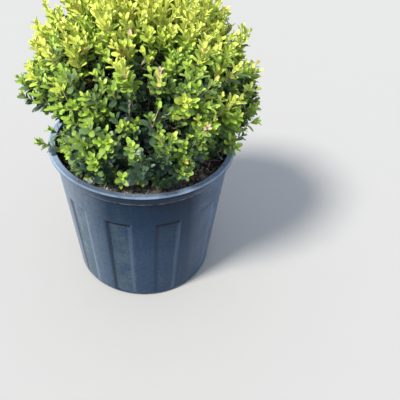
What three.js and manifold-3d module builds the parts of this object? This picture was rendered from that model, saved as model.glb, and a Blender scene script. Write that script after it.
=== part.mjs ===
// A clipped box ball growing in a tapered nursery pot, full size in millimetres.
// +Z is up, the origin is the middle of the pot's underside, and -Y is the front.
// The pot holds the soil, a short stem stands in the soil, boughs fork from the stem,
// and each bough carries one mass of foliage that keeps to its own part of the ball.
import * as THREE from "three";
import { mergeVertices } from "three/addons/utils/BufferGeometryUtils.js";
import Module from "manifold-3d";

const wasm = await Module();
wasm.setup();

// Pot: a thin moulded wall with a stepped collar, a broad rolled lip and shallow upright panels
const POT_HEIGHT = 241;
const LIP_RADIUS = 139.5;
const LIP_WIDTH = 10.5;
const NECK_RADIUS = 131;
const FOOT_RADIUS = 114;
const NECK_HEIGHT = 221;
const WALL = 3;
const POT_SIDES = 44;
const PANELS = 11;
const PANEL_ANGLE = THREE.MathUtils.degToRad(19);
const FIRST_PANEL = THREE.MathUtils.degToRad(-8.5);
const PANEL_FOOT = 7;
const PANEL_HEAD = 177;
const PANEL_DEPTH_FOOT = 0.7;
const PANEL_DEPTH_HEAD = 2.2;

// Underside: a flat pad in the middle and a flat foot ring, with the drained floor raised between
const PAD_RADIUS = 38;
const RING_INNER = 84;
const RING_OUTER = 107;
const FLOOR_RAISED = 4;
const FLOOR = 2.8;
const DRAINS = 6;
const DRAIN_RADIUS = 7;
const DRAIN_CIRCLE = 61;

// Soil: filled to a finger's width under the lip
const SOIL_CROWN = 224;
const SOIL_HUMP = [
  [105, 221],
  [62, 223],
  [24, SOIL_CROWN],
];
const SOIL_EDGE = 218;

// Stem and boughs
const STEM_FOOT = SOIL_CROWN;
const STEM_TOP = new THREE.Vector3(6, 4, 286);
const STEM_BEND = new THREE.Vector3(0, 0, 256);
const STEM_RADIUS = 8;
const STEM_TAPER = 2.2;
const ROOT_FLARE = 7;
const BOUGH_ROOT = 4.2;
const BOUGH_TIP = 2.9;
const BOUGH_SPREAD = 20;
const BOUGH_RISE = 13;
const BOUGH_LIFT = 0.45;
const BOUGH_REACH = 51;

// Crown: a ball of leaves whose shade keeps its middle, the heart, bare
const CROWN_CENTRE = new THREE.Vector3(0, 0, 318);
const CROWN_RADIUS = 160;
const SWELL = 0.022;
const TUCK = 0.11;
const TUCK_START = 0.02;
const TUCK_END = 0.35;
const TUCK_LEAN = 0.1;
const DENT = 0.17;
const DENT_ANGLE = THREE.MathUtils.degToRad(11);
const DENT_WAY = new THREE.Vector3(-0.87, -0.46, -0.17).normalize();
const LIP_CLEAR = POT_HEIGHT + 8;
const IN_POT = NECK_RADIUS - WALL - 5;
const SOIL_CLEAR = 4;
const CROWN_LIMIT = 173;
const HEART_RADIUS = 62;
const HEART_FOOT = 27;
const CORE_SHARE = 0.78;
const CORE_BUMP = 0.05;
const CORE_DETAIL = 3;
const SHOOTS = 104;
const LOWEST_SHOOT = -0.74;
const INSET = 0.05;
const FORK_SHARE = 0.2;
const SHOOT_FOOT = 0.74;
const TWIG_RADIUS = 1.3;
const TWIG_STEM = 21;

// Leaves: one stands for a tuft of the real 14 mm ones
const LEAF_LENGTH = 30;
const LEAF_WIDTH = 19;
const LEAF_THICKNESS = 1.3;
const LEAF_WIDEST = 0.22;
const LEAF_ROOT = 0.15;
const PAIR_SHARES = [0.3, 0.64, 0.93];
const PAIR_ANGLES = [64, 48, 30].map(THREE.MathUtils.degToRad);
const SPARE_SIZES = [1, 0.8, 0.62];
const SPARE_TURNS = [0, 0.8, 1.6, 2.4];

const GAP = 0.3;
const FINEST_EDGE = 0.02;
const SEED = 20736;

// The masses of foliage: rows round the ball, each with its height above the crown's middle
// in degrees and the height on the stem, as a share, where its boughs fork
const ROWS = [
  { name: "top", masses: 1, elevation: 90, turn: 0, forks: [1] },
  { name: "upper", masses: 4, elevation: 36, turn: 27, forks: [0.62, 0.48] },
  { name: "lower", masses: 6, elevation: -10, turn: 8, forks: [0.32, 0.18] },
];

const MATERIALS = {
  pot: { color: 0x2f3a4c, roughness: 0.55, metalness: 0 },
  soil: { color: 0x33271f, roughness: 0.95, metalness: 0 },
  bark: { color: 0x9a8a63, roughness: 0.9, metalness: 0 },
  leaf: { color: 0x6f9a34, roughness: 0.5, metalness: 0 },
};

// Repeatable chance: the same draws in the same order every time.
class Chance {
  constructor(seed) {
    this.state = seed;
  }

  next() {
    this.state = (this.state * 48271) % 2147483647;
    return this.state / 2147483647;
  }

  between(low, high) {
    return low + (high - low) * this.next();
  }
}

// A closed geometry as a solid that can be joined and cut.
function solid(geometry) {
  const bare = geometry.clone();
  bare.deleteAttribute("normal");
  bare.deleteAttribute("uv");
  const merged = mergeVertices(bare, 1e-3);
  return new wasm.Manifold(
    new wasm.Mesh({
      numProp: 3,
      vertProperties: merged.attributes.position.array,
      triVerts: new Uint32Array(merged.index.array),
    }),
  );
}

// The largest body of a solid, without scraps and hair-thin edges and with any sealed hollow
// filled.
function mainBody(body) {
  const largest = body.decompose().reduce((a, b) => (a.volume() > b.volume() ? a : b));
  return largest.simplify(FINEST_EDGE);
}

function geometryOf(body) {
  const { vertProperties, triVerts } = body.getMesh();
  const geometry = new THREE.BufferGeometry();
  geometry.setAttribute("position", new THREE.BufferAttribute(vertProperties, 3));
  geometry.setIndex(new THREE.BufferAttribute(triVerts, 1));
  geometry.computeVertexNormals();
  return geometry;
}

// A shape turned about the upright axis from [radius, height] points.
function turned(points, sides) {
  const profile = points.map(([radius, height]) => new THREE.Vector2(radius, height));
  return new THREE.LatheGeometry(profile, sides).rotateX(Math.PI / 2).rotateZ(FIRST_PANEL);
}

// A round limb along a curve, with its radius given at each share of the length.
function limb(curve, radiusAt, sides, rings) {
  const shape = new THREE.CylinderGeometry(1, 1, 1, sides, rings);
  const { normals, binormals } = curve.computeFrenetFrames(rings);
  const place = shape.attributes.position;
  for (let i = 0; i < place.count; i++) {
    const share = place.getY(i) + 0.5;
    const ring = Math.round(share * rings);
    const radius = radiusAt(ring / rings);
    const point = curve
      .getPointAt(ring / rings)
      .addScaledVector(normals[ring], radius * place.getX(i))
      .addScaledVector(binormals[ring], -radius * place.getZ(i));
    place.setXYZ(i, point.x, point.y, point.z);
  }
  return shape;
}

function wallRadius(height) {
  return FOOT_RADIUS + ((NECK_RADIUS - FOOT_RADIUS) * height) / NECK_HEIGHT;
}

// The cutter for one upright panel: a slice of a ring that leans with the wall, shallow at
// its foot and deepest at its head, where the wall overhangs it.
function panelCutter(angle) {
  const inside = FOOT_RADIUS - PANEL_DEPTH_FOOT;
  const outside = FOOT_RADIUS + WALL;
  const height = PANEL_HEAD - PANEL_FOOT;
  const slice = new THREE.Shape();
  slice.absarc(0, 0, outside, -PANEL_ANGLE / 2, PANEL_ANGLE / 2, false);
  slice.absarc(0, 0, inside, PANEL_ANGLE / 2, -PANEL_ANGLE / 2, true);
  const cutter = new THREE.ExtrudeGeometry(slice, {
    depth: height,
    steps: 1,
    curveSegments: 4,
    bevelEnabled: false,
  });
  const place = cutter.attributes.position;
  for (let i = 0; i < place.count; i++) {
    const share = place.getZ(i) / height;
    const radius = Math.hypot(place.getX(i), place.getY(i));
    const lean = wallRadius(PANEL_FOOT + share * height) - FOOT_RADIUS;
    const deeper = radius < FOOT_RADIUS ? share * (PANEL_DEPTH_HEAD - PANEL_DEPTH_FOOT) : 0;
    const scale = (radius + lean - deeper) / radius;
    place.setX(i, place.getX(i) * scale);
    place.setY(i, place.getY(i) * scale);
  }
  return cutter.translate(0, 0, PANEL_FOOT).rotateZ(angle - Math.PI / 2);
}

function makePot() {
  const floor = FLOOR_RAISED + FLOOR;
  const shell = turned(
    [
      [0, 0],
      [PAD_RADIUS, 0],
      [PAD_RADIUS + FLOOR_RAISED, FLOOR_RAISED],
      [RING_INNER - FLOOR_RAISED, FLOOR_RAISED],
      [RING_INNER, 0],
      [RING_OUTER, 0],
      [RING_OUTER + 4.4, 1.2],
      [wallRadius(5), 5],
      [NECK_RADIUS, NECK_HEIGHT],
      [NECK_RADIUS + 2.2, NECK_HEIGHT + 1.6],
      [LIP_RADIUS - 4.6, POT_HEIGHT - 8.5],
      [LIP_RADIUS - 1.2, POT_HEIGHT - 6.5],
      [LIP_RADIUS, POT_HEIGHT - 3.6],
      [LIP_RADIUS - 1.8, POT_HEIGHT],
      [LIP_RADIUS - LIP_WIDTH + 1, POT_HEIGHT - 0.6],
      [LIP_RADIUS - LIP_WIDTH, POT_HEIGHT - 1.8],
      [LIP_RADIUS - LIP_WIDTH, POT_HEIGHT - 8.5],
      [NECK_RADIUS - WALL, NECK_HEIGHT],
      [wallRadius(floor) - WALL, floor],
      [0, floor],
    ],
    POT_SIDES,
  );
  let pot = solid(shell);
  for (let i = 0; i < PANELS; i++) {
    const angle = FIRST_PANEL + (i * 2 * Math.PI) / PANELS;
    pot = pot.subtract(solid(panelCutter(angle)));
  }
  for (let i = 0; i < DRAINS; i++) {
    const angle = (i * 2 * Math.PI) / DRAINS;
    const drain = new THREE.CylinderGeometry(DRAIN_RADIUS, DRAIN_RADIUS, 4 * FLOOR, 12);
    drain.rotateX(Math.PI / 2).translate(DRAIN_CIRCLE, 0, floor - FLOOR / 2).rotateZ(angle);
    pot = pot.subtract(solid(drain));
  }
  return geometryOf(pot);
}

function makeSoil() {
  const bottom = FLOOR_RAISED + FLOOR + GAP;
  const inside = (height) => wallRadius(height) - WALL - GAP;
  return turned(
    [
      [0, bottom],
      [inside(bottom), bottom],
      [inside(SOIL_EDGE), SOIL_EDGE],
      ...SOIL_HUMP,
      [0, SOIL_CROWN],
    ],
    POT_SIDES / 2,
  );
}

// The stem's axis leaves the soil upright and leans a little on its way to the fork.
const stemAxis = new THREE.QuadraticBezierCurve3(
  new THREE.Vector3(0, 0, STEM_FOOT + GAP),
  STEM_BEND,
  STEM_TOP,
);

function stemRadius(share) {
  return STEM_RADIUS - STEM_TAPER * share + ROOT_FLARE * Math.exp(-11 * share);
}

function makeStem(extra) {
  const length = stemAxis.getLength();
  const stretched = new THREE.QuadraticBezierCurve3(
    stemAxis.getPointAt(0).sub(new THREE.Vector3(0, 0, extra)),
    STEM_BEND,
    stemAxis.getPointAt(1).addScaledVector(stemAxis.getTangentAt(1), extra),
  );
  return limb(stretched, (share) => stemRadius(share) + extra, 10, Math.round(length / 10));
}

// How far leaves reach from the crown's middle in one direction: the clipped ball with its low
// swells, tucked in underneath so that the pot's lip stays clear, a little sooner on the left,
// with one dent where few shoots grew, and held off the soil and off the pot's wall.
function reach(way) {
  const swell = Math.sin(4.7 * way.y + 5 * way.z + 1.2) - Math.cos(4.1 * way.x);
  const under = THREE.MathUtils.smoothstep(-way.z - TUCK_LEAN * way.x, TUCK_START, TUCK_END);
  const dent = DENT * Math.exp(-((way.angleTo(DENT_WAY) / DENT_ANGLE) ** 2));
  const ball = CROWN_RADIUS * (1 + SWELL * swell) * (1 - TUCK * under) * (1 - dent);
  if (CROWN_CENTRE.z + ball * way.z > LIP_CLEAR) return ball;
  const inPot = IN_POT / Math.hypot(way.x, way.y);
  const toSoil = (SOIL_CROWN + SOIL_CLEAR - CROWN_CENTRE.z) / way.z;
  return Math.min(ball, inPot, toSoil);
}

// Points spread evenly over the ball, one for the tip of each leafy shoot.
function shootTips(chance) {
  const goldenTurn = Math.PI * (3 - Math.sqrt(5));
  const tips = [];
  for (let i = 0; i < SHOOTS; i++) {
    const height = 1 - (2 * (i + 0.5)) / SHOOTS + chance.between(-0.02, 0.02);
    const turn = i * goldenTurn + chance.between(-0.1, 0.1);
    const inset = LEAF_LENGTH * chance.between(0.5, 0.85);
    if (height < LOWEST_SHOOT || height > 1) continue;
    const level = Math.sqrt(1 - height * height);
    const way = new THREE.Vector3(level * Math.cos(turn), level * Math.sin(turn), height);
    tips.push(way.clone().multiplyScalar(reach(way) - inset).add(CROWN_CENTRE));
  }
  return tips;
}

// One entry for each mass: its name, the way it faces from the crown's middle, its bough's
// curve, and the tips of its shoots.
function layOut() {
  const masses = [];
  for (const row of ROWS) {
    for (let i = 0; i < row.masses; i++) {
      const rise = THREE.MathUtils.degToRad(row.elevation);
      const turn = THREE.MathUtils.degToRad(row.turn + (360 * i) / row.masses);
      const way = new THREE.Vector3(
        Math.cos(rise) * Math.cos(turn),
        Math.cos(rise) * Math.sin(turn),
        Math.sin(rise),
      );
      const root = stemAxis.getPointAt(row.forks[i % row.forks.length]);
      const tip = way.clone().multiplyScalar(BOUGH_REACH).add(CROWN_CENTRE);
      const leaving = new THREE.Vector3(BOUGH_SPREAD * way.x, BOUGH_SPREAD * way.y, BOUGH_RISE);
      const arriving = way.clone().add(new THREE.Vector3(0, 0, BOUGH_LIFT)).setLength(BOUGH_SPREAD);
      const name = row.masses > 1 ? `${row.name}_${i + 1}` : row.name;
      const bough = new THREE.CubicBezierCurve3(
        root,
        root.clone().add(leaving),
        tip.clone().sub(arriving),
        tip,
      );
      masses.push({ name, way, bough, tips: [], leaves: [] });
    }
  }
  for (const tip of shootTips(new Chance(SEED))) {
    const out = tip.clone().sub(CROWN_CENTRE);
    const nearest = masses.reduce((a, b) => (out.dot(a.way) > out.dot(b.way) ? a : b));
    const middle = nearest.way.clone().setLength(out.length()).add(CROWN_CENTRE);
    nearest.tips.push(tip.lerp(middle, INSET));
  }
  for (const mass of masses) {
    mass.walls = masses
      .filter((other) => other !== mass)
      .map((other) => mass.way.clone().sub(other.way).normalize());
  }
  return masses;
}

function makeBough(mass, swollenStem) {
  const radius = (share) => THREE.MathUtils.lerp(BOUGH_ROOT, BOUGH_TIP, share);
  const whole = solid(limb(mass.bough, radius, 5, 5));
  return geometryOf(mainBody(whole.subtract(swollenStem)));
}

// Whether all the points of a small piece lie in the mass's own space: between its walls,
// inside the crown, clear of the soil and the pot, and out of the heart where the boughs run.
function inOwnSpace(points, mass) {
  const lip = POT_HEIGHT + 2.5;
  const inPot = NECK_RADIUS - WALL - 4;
  const aboveLip = points.every((p) => p.z > lip);
  const withinPot = points.every((p) => p.z > SOIL_CROWN + 1.5 && Math.hypot(p.x, p.y) < inPot);
  if (!aboveLip && !withinPot) return false;
  return points.every((p) => {
    const out = p.clone().sub(CROWN_CENTRE);
    if (out.length() > CROWN_LIMIT || out.length() < HEART_RADIUS + 3) return false;
    return mass.walls.every((wall) => out.dot(wall) > GAP);
  });
}

function cornersOf(geometry) {
  const place = geometry.attributes.position;
  return Array.from({ length: place.count }, (_, i) =>
    new THREE.Vector3().fromBufferAttribute(place, i),
  );
}

// A straight three-sided twig that tapers from one point to another.
function twig(from, to, thick, thin) {
  const length = from.distanceTo(to);
  const shape = new THREE.CylinderGeometry(thin, thick, length, 3, 1);
  const along = to.clone().sub(from).normalize();
  const turn = new THREE.Quaternion().setFromUnitVectors(new THREE.Vector3(0, 1, 0), along);
  const middle = from.clone().lerp(to, 0.5);
  return shape.applyQuaternion(turn).translate(middle.x, middle.y, middle.z);
}

// A leaf of eight faces, widest past its middle, growing from a point of a twig along a way,
// with its upper side towards the twig's tip.
function leaf(root, way, twigWay, size) {
  const shape = new THREE.OctahedronGeometry(1, 0);
  const across = new THREE.Vector3().crossVectors(twigWay, way).normalize();
  const up = new THREE.Vector3().crossVectors(way, across);
  const place = shape.attributes.position;
  for (let i = 0; i < place.count; i++) {
    const side = Math.abs(place.getX(i)) < 0.5 ? LEAF_WIDEST : 0;
    const along = ((place.getX(i) + 1 + side) / 2) * LEAF_LENGTH * size + LEAF_ROOT;
    const point = root
      .clone()
      .addScaledVector(way, along)
      .addScaledVector(across, (place.getY(i) * LEAF_WIDTH * size) / 2)
      .addScaledVector(up, (place.getZ(i) * LEAF_THICKNESS) / 2);
    place.setXYZ(i, point.x, point.y, point.z);
  }
  return shape;
}

// The two leaves of an opposite pair on a shoot, at one share of its length.
function leafPair(foot, tip, pair, turn, size) {
  const along = tip.clone().sub(foot).normalize();
  const level = new THREE.Vector3(-along.y, along.x, 0.01).normalize();
  const root = foot.clone().lerp(tip, PAIR_SHARES[pair]);
  return [turn, turn + Math.PI].map((quarter) => {
    const side = level.clone().applyAxisAngle(along, quarter);
    const way = along.clone().multiplyScalar(Math.cos(PAIR_ANGLES[pair]));
    return leaf(root, way.addScaledVector(side, Math.sin(PAIR_ANGLES[pair])), along, size);
  });
}

// A leafy shoot: a twig that turns straight out of the crown near its end and bears opposite
// pairs of leaves, each pair a quarter turn from the last. A pair that would leave the mass's
// space is turned, then made smaller, until it fits, and a leaf that would cut another is left
// out.
function growShoot(from, tip, mass, chance, parts) {
  const foot = CROWN_CENTRE.clone().lerp(tip, SHOOT_FOOT);
  const twigs = [twig(from, foot, TWIG_RADIUS * 1.5, TWIG_RADIUS * 1.4)];
  twigs.push(twig(foot.clone().lerp(from, 0.05), tip, TWIG_RADIUS * 1.4, TWIG_RADIUS));
  const firstTurn = chance.between(0, Math.PI);
  const size = chance.between(0.9, 1.12);
  if (!twigs.every((piece) => inOwnSpace(cornersOf(piece), mass))) return;
  parts.push(...twigs);
  for (let pair = 0; pair < PAIR_SHARES.length; pair++) {
    const choices = SPARE_SIZES.flatMap((spare) =>
      SPARE_TURNS.map((turn) => {
        const quarter = firstTurn + turn + (pair * Math.PI) / 2;
        return leafPair(foot, tip, pair, quarter, size * spare);
      }),
    );
    const fitting = choices.find((leaves) =>
      leaves.every((blade) => inOwnSpace(cornersOf(blade), mass)),
    );
    for (const blade of fitting ?? []) {
      const body = solid(blade);
      if (mass.leaves.some((other) => other.intersect(body).volume() > 0)) continue;
      mass.leaves.push(body);
      parts.push(blade);
    }
  }
}

// Splits shoots in two halves across their widest spread.
function halves(tips) {
  const spread = new THREE.Box3().setFromPoints(tips).getSize(new THREE.Vector3());
  const axis = ["x", "y", "z"].reduce((a, b) => (spread[a] >= spread[b] ? a : b));
  const sorted = [...tips].sort((a, b) => a[axis] - b[axis]);
  const middle = Math.ceil(sorted.length / 2);
  return [sorted.slice(0, middle), sorted.slice(middle)];
}

// Twigs fork in two, each towards the middle of its share of the shoots, until each carries one.
function grow(from, tips, mass, chance, parts) {
  if (tips.length === 1) {
    growShoot(from, tips[0], mass, chance, parts);
    return;
  }
  for (const half of halves(tips)) {
    const middle = new THREE.Vector3();
    half.forEach((tip) => middle.addScaledVector(tip, 1 / half.length));
    const end = from.clone().lerp(middle, FORK_SHARE);
    const thickness = TWIG_RADIUS * Math.sqrt(half.length + 1);
    const piece = twig(from, end, thickness * 1.1, thickness);
    if (inOwnSpace(cornersOf(piece), mass)) parts.push(piece);
    grow(end, half, mass, chance, parts);
  }
}

// The dense inside of the whole crown, where leaves and twigs shut out the light: a rough
// ball inside the crown's outline, hollow round the heart.
function makeInside(heart, chance) {
  const ball = new THREE.IcosahedronGeometry(1, CORE_DETAIL);
  ball.deleteAttribute("normal");
  ball.deleteAttribute("uv");
  const rough = mergeVertices(ball, 1e-3);
  const place = rough.attributes.position;
  for (let i = 0; i < place.count; i++) {
    const way = new THREE.Vector3().fromBufferAttribute(place, i).normalize();
    const share = CORE_SHARE + chance.between(-CORE_BUMP, CORE_BUMP);
    const point = way.clone().multiplyScalar(share * reach(way)).add(CROWN_CENTRE);
    place.setXYZ(i, point.x, point.y, point.z);
  }
  return solid(rough).subtract(heart);
}

// The core of a mass: the crown's inside, cut to the mass's own space.
function makeCore(mass, inside) {
  let core = inside;
  for (const wall of mass.walls) {
    core = core.trimByPlane(wall.toArray(), wall.dot(CROWN_CENTRE) + GAP);
  }
  return mainBody(core);
}

function makeMass(mass, inside, chance) {
  const way = mass.bough.getTangentAt(1);
  const foot = mass.bough.getPointAt(1).addScaledVector(way, GAP);
  const end = foot.clone().addScaledVector(way, TWIG_STEM);
  const stem = limb(new THREE.LineCurve3(foot, end), () => BOUGH_TIP, 6, 1);
  const parts = [stem];
  grow(foot.clone().lerp(end, 0.8), mass.tips, mass, chance, parts);
  const fused = wasm.Manifold.union([makeCore(mass, inside), ...parts.map(solid)]);
  return geometryOf(mainBody(fused));
}

function makeHeart() {
  const ball = new THREE.IcosahedronGeometry(HEART_RADIUS, 1).translate(...CROWN_CENTRE);
  const depth = CROWN_CENTRE.z - STEM_FOOT;
  const throat = new THREE.CylinderGeometry(HEART_RADIUS - 2, HEART_FOOT, depth, 16);
  throat.rotateX(Math.PI / 2).translate(0, 0, CROWN_CENTRE.z - depth / 2);
  return solid(ball).add(solid(throat));
}

const plant = new THREE.Group();
const finishes = Object.fromEntries(
  Object.entries(MATERIALS).map(([name, look]) => [name, new THREE.MeshStandardMaterial(look)]),
);

function add(name, geometry, finish) {
  const mesh = new THREE.Mesh(geometry, finishes[finish]);
  mesh.name = name;
  plant.add(mesh);
}

const swollenStem = solid(makeStem(GAP));
const chance = new Chance(SEED + 1);
const inside = makeInside(makeHeart(), chance);
add("pot", makePot(), "pot");
add("soil", makeSoil(), "soil");
add("stem", makeStem(0), "bark");
for (const mass of layOut()) {
  add(`bough_${mass.name}`, makeBough(mass, swollenStem), "bark");
  add(`foliage_${mass.name}`, makeMass(mass, inside, chance), "leaf");
}

export default plant;
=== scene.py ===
import math

import bmesh
import bpy
import numpy as np
from mathutils import Matrix, Quaternion, Vector, noise


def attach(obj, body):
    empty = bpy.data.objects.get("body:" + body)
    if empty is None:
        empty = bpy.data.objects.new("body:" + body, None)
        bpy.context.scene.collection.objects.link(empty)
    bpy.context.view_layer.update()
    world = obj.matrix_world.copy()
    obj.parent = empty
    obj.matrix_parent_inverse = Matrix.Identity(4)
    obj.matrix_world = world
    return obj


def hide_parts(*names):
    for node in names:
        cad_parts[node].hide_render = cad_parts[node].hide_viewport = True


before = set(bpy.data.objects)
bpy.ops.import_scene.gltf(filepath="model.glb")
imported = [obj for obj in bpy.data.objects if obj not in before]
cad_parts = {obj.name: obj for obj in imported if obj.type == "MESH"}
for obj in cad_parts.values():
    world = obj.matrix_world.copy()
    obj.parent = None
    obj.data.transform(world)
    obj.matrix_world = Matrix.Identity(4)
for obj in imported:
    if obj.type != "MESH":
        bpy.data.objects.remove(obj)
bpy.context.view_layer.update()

# The camera stands in front of the pot, close to it and a little to its right, and looks down on
# the crown, so the frame cuts the crown's top off as the photograph does.
FRAME_PX = 400
FOCAL_PX = 470.99
SENSOR_WIDTH = 36
NEAREST_SEEN = 0.01
CAMERA_PLACE = Vector((0.0931, -0.5873, 0.6516))
LOOK_DOWN = math.radians(41.978)
ROLL = math.radians(5.1405)

lens = bpy.data.cameras.new("camera")
lens.sensor_width = SENSOR_WIDTH
lens.lens = FOCAL_PX * SENSOR_WIDTH / FRAME_PX
lens.clip_start = NEAREST_SEEN
camera = bpy.data.objects.new("camera", lens)
tilt = Matrix.Rotation(math.pi / 2 - LOOK_DOWN, 4, "X") @ Matrix.Rotation(ROLL, 4, "Z")
camera.matrix_world = Matrix.Translation(CAMERA_PLACE) @ tilt
bpy.context.scene.collection.objects.link(camera)
bpy.context.scene.camera = camera
to_camera = camera.matrix_world.inverted()


def frame_pixel(point):
    """Where a point given in millimetres falls in the photograph's frame."""
    seen = to_camera @ (point / 1000)
    across = FRAME_PX / 2 + FOCAL_PX * seen.x / -seen.z
    down = FRAME_PX / 2 - FOCAL_PX * seen.y / -seen.z
    return Vector((across, down))


# The pot: blow-moulded black plastic with a slate bloom, a stepped collar under a rolled lip, and
# eleven shallow upright panels let into the wall, deepest at their heads. The underside stands on
# a flat pad and a foot ring, and six drain holes are punched between them.
POT_HEIGHT = 241
LIP_RADIUS = 139.5
LIP_WIDTH = 10.5
NECK_RADIUS = 131
NECK_HEIGHT = 221
FOOT_RADIUS = 114
WALL = 3
PANELS = 11
COLUMNS = 24
PANEL_COLUMNS = 14
FIRST_PANEL = math.radians(-8.5)
PANEL_FOOT = 7
PANEL_HEAD = 179.5
PANEL_LEDGE = 0.5
PANEL_DEPTH_FOOT = 0.8
PANEL_DEPTH_HEAD = 2.4
PANEL_SLOPE_COLUMNS = 3
WALL_START = 5
PANEL_ROWS = range(24, 176, 19)
ABOVE_PANELS = 200
POT_FLOOR = 6.8
PAD_RADIUS = 38
RING_INNER = 84
RING_OUTER = 107
RING_OFFSETS = [(0, 0), (2.6, 0.3), (4.4, 1.2), (6.4, 3)]
UNDERSIDE_RISE = 4
COLLAR_OFFSETS = [(0, 0), (1.6, 0.6), (2.2, 1.8)]
LIP_OFFSETS = [
    (-4.7, -9.4), (-4.2, -8), (-1.2, -6.5), (-0.3, -5.4), (0, -3.6), (-0.3, -1.7), (-1.3, -0.4),
    (-2.6, 0), (-4, -0.4), (-6, -0.9), (1.8 - LIP_WIDTH, -0.7), (0.6 - LIP_WIDTH, -1.2),
    (-LIP_WIDTH, -2.6), (-LIP_WIDTH, -8.5),
]
DRAINS = 6
DRAIN_RADIUS = 7
DRAIN_CIRCLE = 61
DRAIN_SIDES = 24
PUNCH_MIDDLE = 5
PUNCH_LENGTH = 12


def wall_radius(height):
    return FOOT_RADIUS + (NECK_RADIUS - FOOT_RADIUS) * height / NECK_HEIGHT


def spun(outline, steps, start=0):
    """A bmesh turned round Z from an outline of [radius, height] pairs, in millimetres."""
    bm = bmesh.new()
    corners = [bm.verts.new((radius * math.sin(start), -radius * math.cos(start), height))
               for radius, height in outline]
    for lower, upper in zip(corners, corners[1:]):
        bm.edges.new((lower, upper))
    bmesh.ops.spin(bm, geom=bm.verts[:] + bm.edges[:], cent=(0, 0, 0), axis=(0, 0, 1),
                   angle=2 * math.pi, steps=steps, use_merge=True)
    bmesh.ops.remove_doubles(bm, verts=bm.verts[:], dist=0.01)
    bmesh.ops.recalc_face_normals(bm, faces=bm.faces[:])
    return bm


def object_of(mesh, crease):
    """The object of a mesh, smooth but for edges sharper than crease."""
    mesh.shade_smooth()
    mesh.set_sharp_from_angle(angle=math.radians(crease))
    made = bpy.data.objects.new(mesh.name, mesh)
    bpy.context.scene.collection.objects.link(made)
    return made


def piece_of(bm, name, crease=40):
    """The object of a bmesh made in millimetres."""
    bmesh.ops.scale(bm, vec=(0.001, 0.001, 0.001), verts=bm.verts[:])
    mesh = bpy.data.meshes.new(name)
    bm.to_mesh(mesh)
    bm.free()
    return object_of(mesh, crease)


wall_rows = [WALL_START, PANEL_FOOT, PANEL_FOOT + 3, *PANEL_ROWS]
wall_rows += [PANEL_HEAD - PANEL_LEDGE, PANEL_HEAD, ABOVE_PANELS]
outline = [
    (0, 0),
    (PAD_RADIUS, 0),
    (PAD_RADIUS + UNDERSIDE_RISE, UNDERSIDE_RISE),
    (RING_INNER - UNDERSIDE_RISE, UNDERSIDE_RISE),
    (RING_INNER, 0),
]
outline += [(RING_OUTER + aside, rise) for aside, rise in RING_OFFSETS]
outline += [(wall_radius(height), height) for height in wall_rows]
outline += [(NECK_RADIUS + aside, NECK_HEIGHT + rise) for aside, rise in COLLAR_OFFSETS]
outline += [(LIP_RADIUS + aside, POT_HEIGHT + rise) for aside, rise in LIP_OFFSETS]
outline += [
    (NECK_RADIUS - WALL, NECK_HEIGHT),
    (wall_radius(POT_FLOOR) - WALL, POT_FLOOR),
    (0, POT_FLOOR),
]
left_edge = FIRST_PANEL - math.pi / PANELS * PANEL_COLUMNS / COLUMNS
pot_shell = spun(outline, PANELS * COLUMNS, left_edge)
for vert in pot_shell.verts:
    outer = Vector((vert.co.x, vert.co.y)).length
    on_wall = abs(outer - wall_radius(vert.co.z)) < 0.05
    if not on_wall or not PANEL_FOOT + 1 < vert.co.z < PANEL_HEAD - 0.1:
        continue
    turn = math.atan2(vert.co.x, -vert.co.y) - left_edge
    column = round(turn / (2 * math.pi) * PANELS * COLUMNS) % COLUMNS
    if 0 < column < PANEL_COLUMNS:
        share = (vert.co.z - PANEL_FOOT) / (PANEL_HEAD - PANEL_FOOT)
        depth = PANEL_DEPTH_FOOT + (PANEL_DEPTH_HEAD - PANEL_DEPTH_FOOT) * share
        depth *= min(1, column / PANEL_SLOPE_COLUMNS, (PANEL_COLUMNS - column) / PANEL_SLOPE_COLUMNS)
        vert.co.x = (outer - depth) * math.sin(turn + left_edge)
        vert.co.y = -(outer - depth) * math.cos(turn + left_edge)
pot = piece_of(pot_shell, "pot_wall", crease=28)

punch = bmesh.new()
for drain in range(DRAINS):
    turned = Matrix.Rotation(2 * math.pi * drain / DRAINS, 4, "Z")
    moved = Matrix.Translation((DRAIN_CIRCLE, 0, PUNCH_MIDDLE))
    bmesh.ops.create_cone(punch, cap_ends=True, segments=DRAIN_SIDES, radius1=DRAIN_RADIUS,
                          radius2=DRAIN_RADIUS, depth=PUNCH_LENGTH, matrix=turned @ moved)
punches = piece_of(punch, "drain_punches")
holes = pot.modifiers.new("drains", "BOOLEAN")
holes.object = punches
holes.operation = "DIFFERENCE"
holes.solver = "EXACT"
punched = bpy.data.meshes.new_from_object(pot.evaluated_get(bpy.context.evaluated_depsgraph_get()))
pot.modifiers.clear()
pot.data = punched
bpy.data.objects.remove(punches)


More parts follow.
